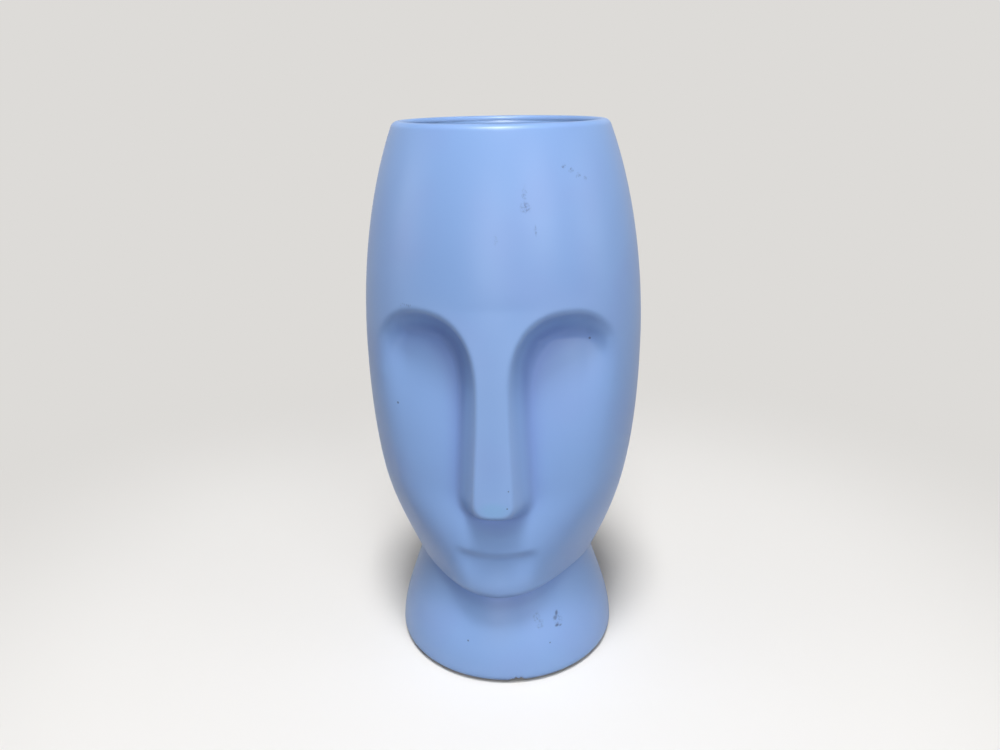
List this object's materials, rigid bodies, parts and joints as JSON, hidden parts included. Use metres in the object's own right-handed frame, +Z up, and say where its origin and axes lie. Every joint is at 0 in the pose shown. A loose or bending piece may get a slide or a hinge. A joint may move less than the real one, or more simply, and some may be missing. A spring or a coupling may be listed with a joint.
{
  "type": "face vase",
  "caption": "Tall ceramic vase shaped as a stylised face on a flared neck, open at the top to hold flowers or dry stems.",
  "frame": {"origin": "on the table, in the middle of the vase's footprint", "axes": "+Z up through the mouth, -Y the way the face looks, +X to the viewer's right when facing it"},
  "size_m": [0.1504, 0.1523, 0.3],
  "materials": {
    "ceramic": "pale periwinkle blue satin glaze over a slip-cast earthenware body",
    "silicone": "clear stick-on silicone"
  },
  "bodies": {
    "root": {"vase_body": "ceramic", "foot_pad_front_left": "silicone", "foot_pad_front_right": "silicone", "foot_pad_back_left": "silicone", "foot_pad_back_right": "silicone"}
  },
  "joints": []
}
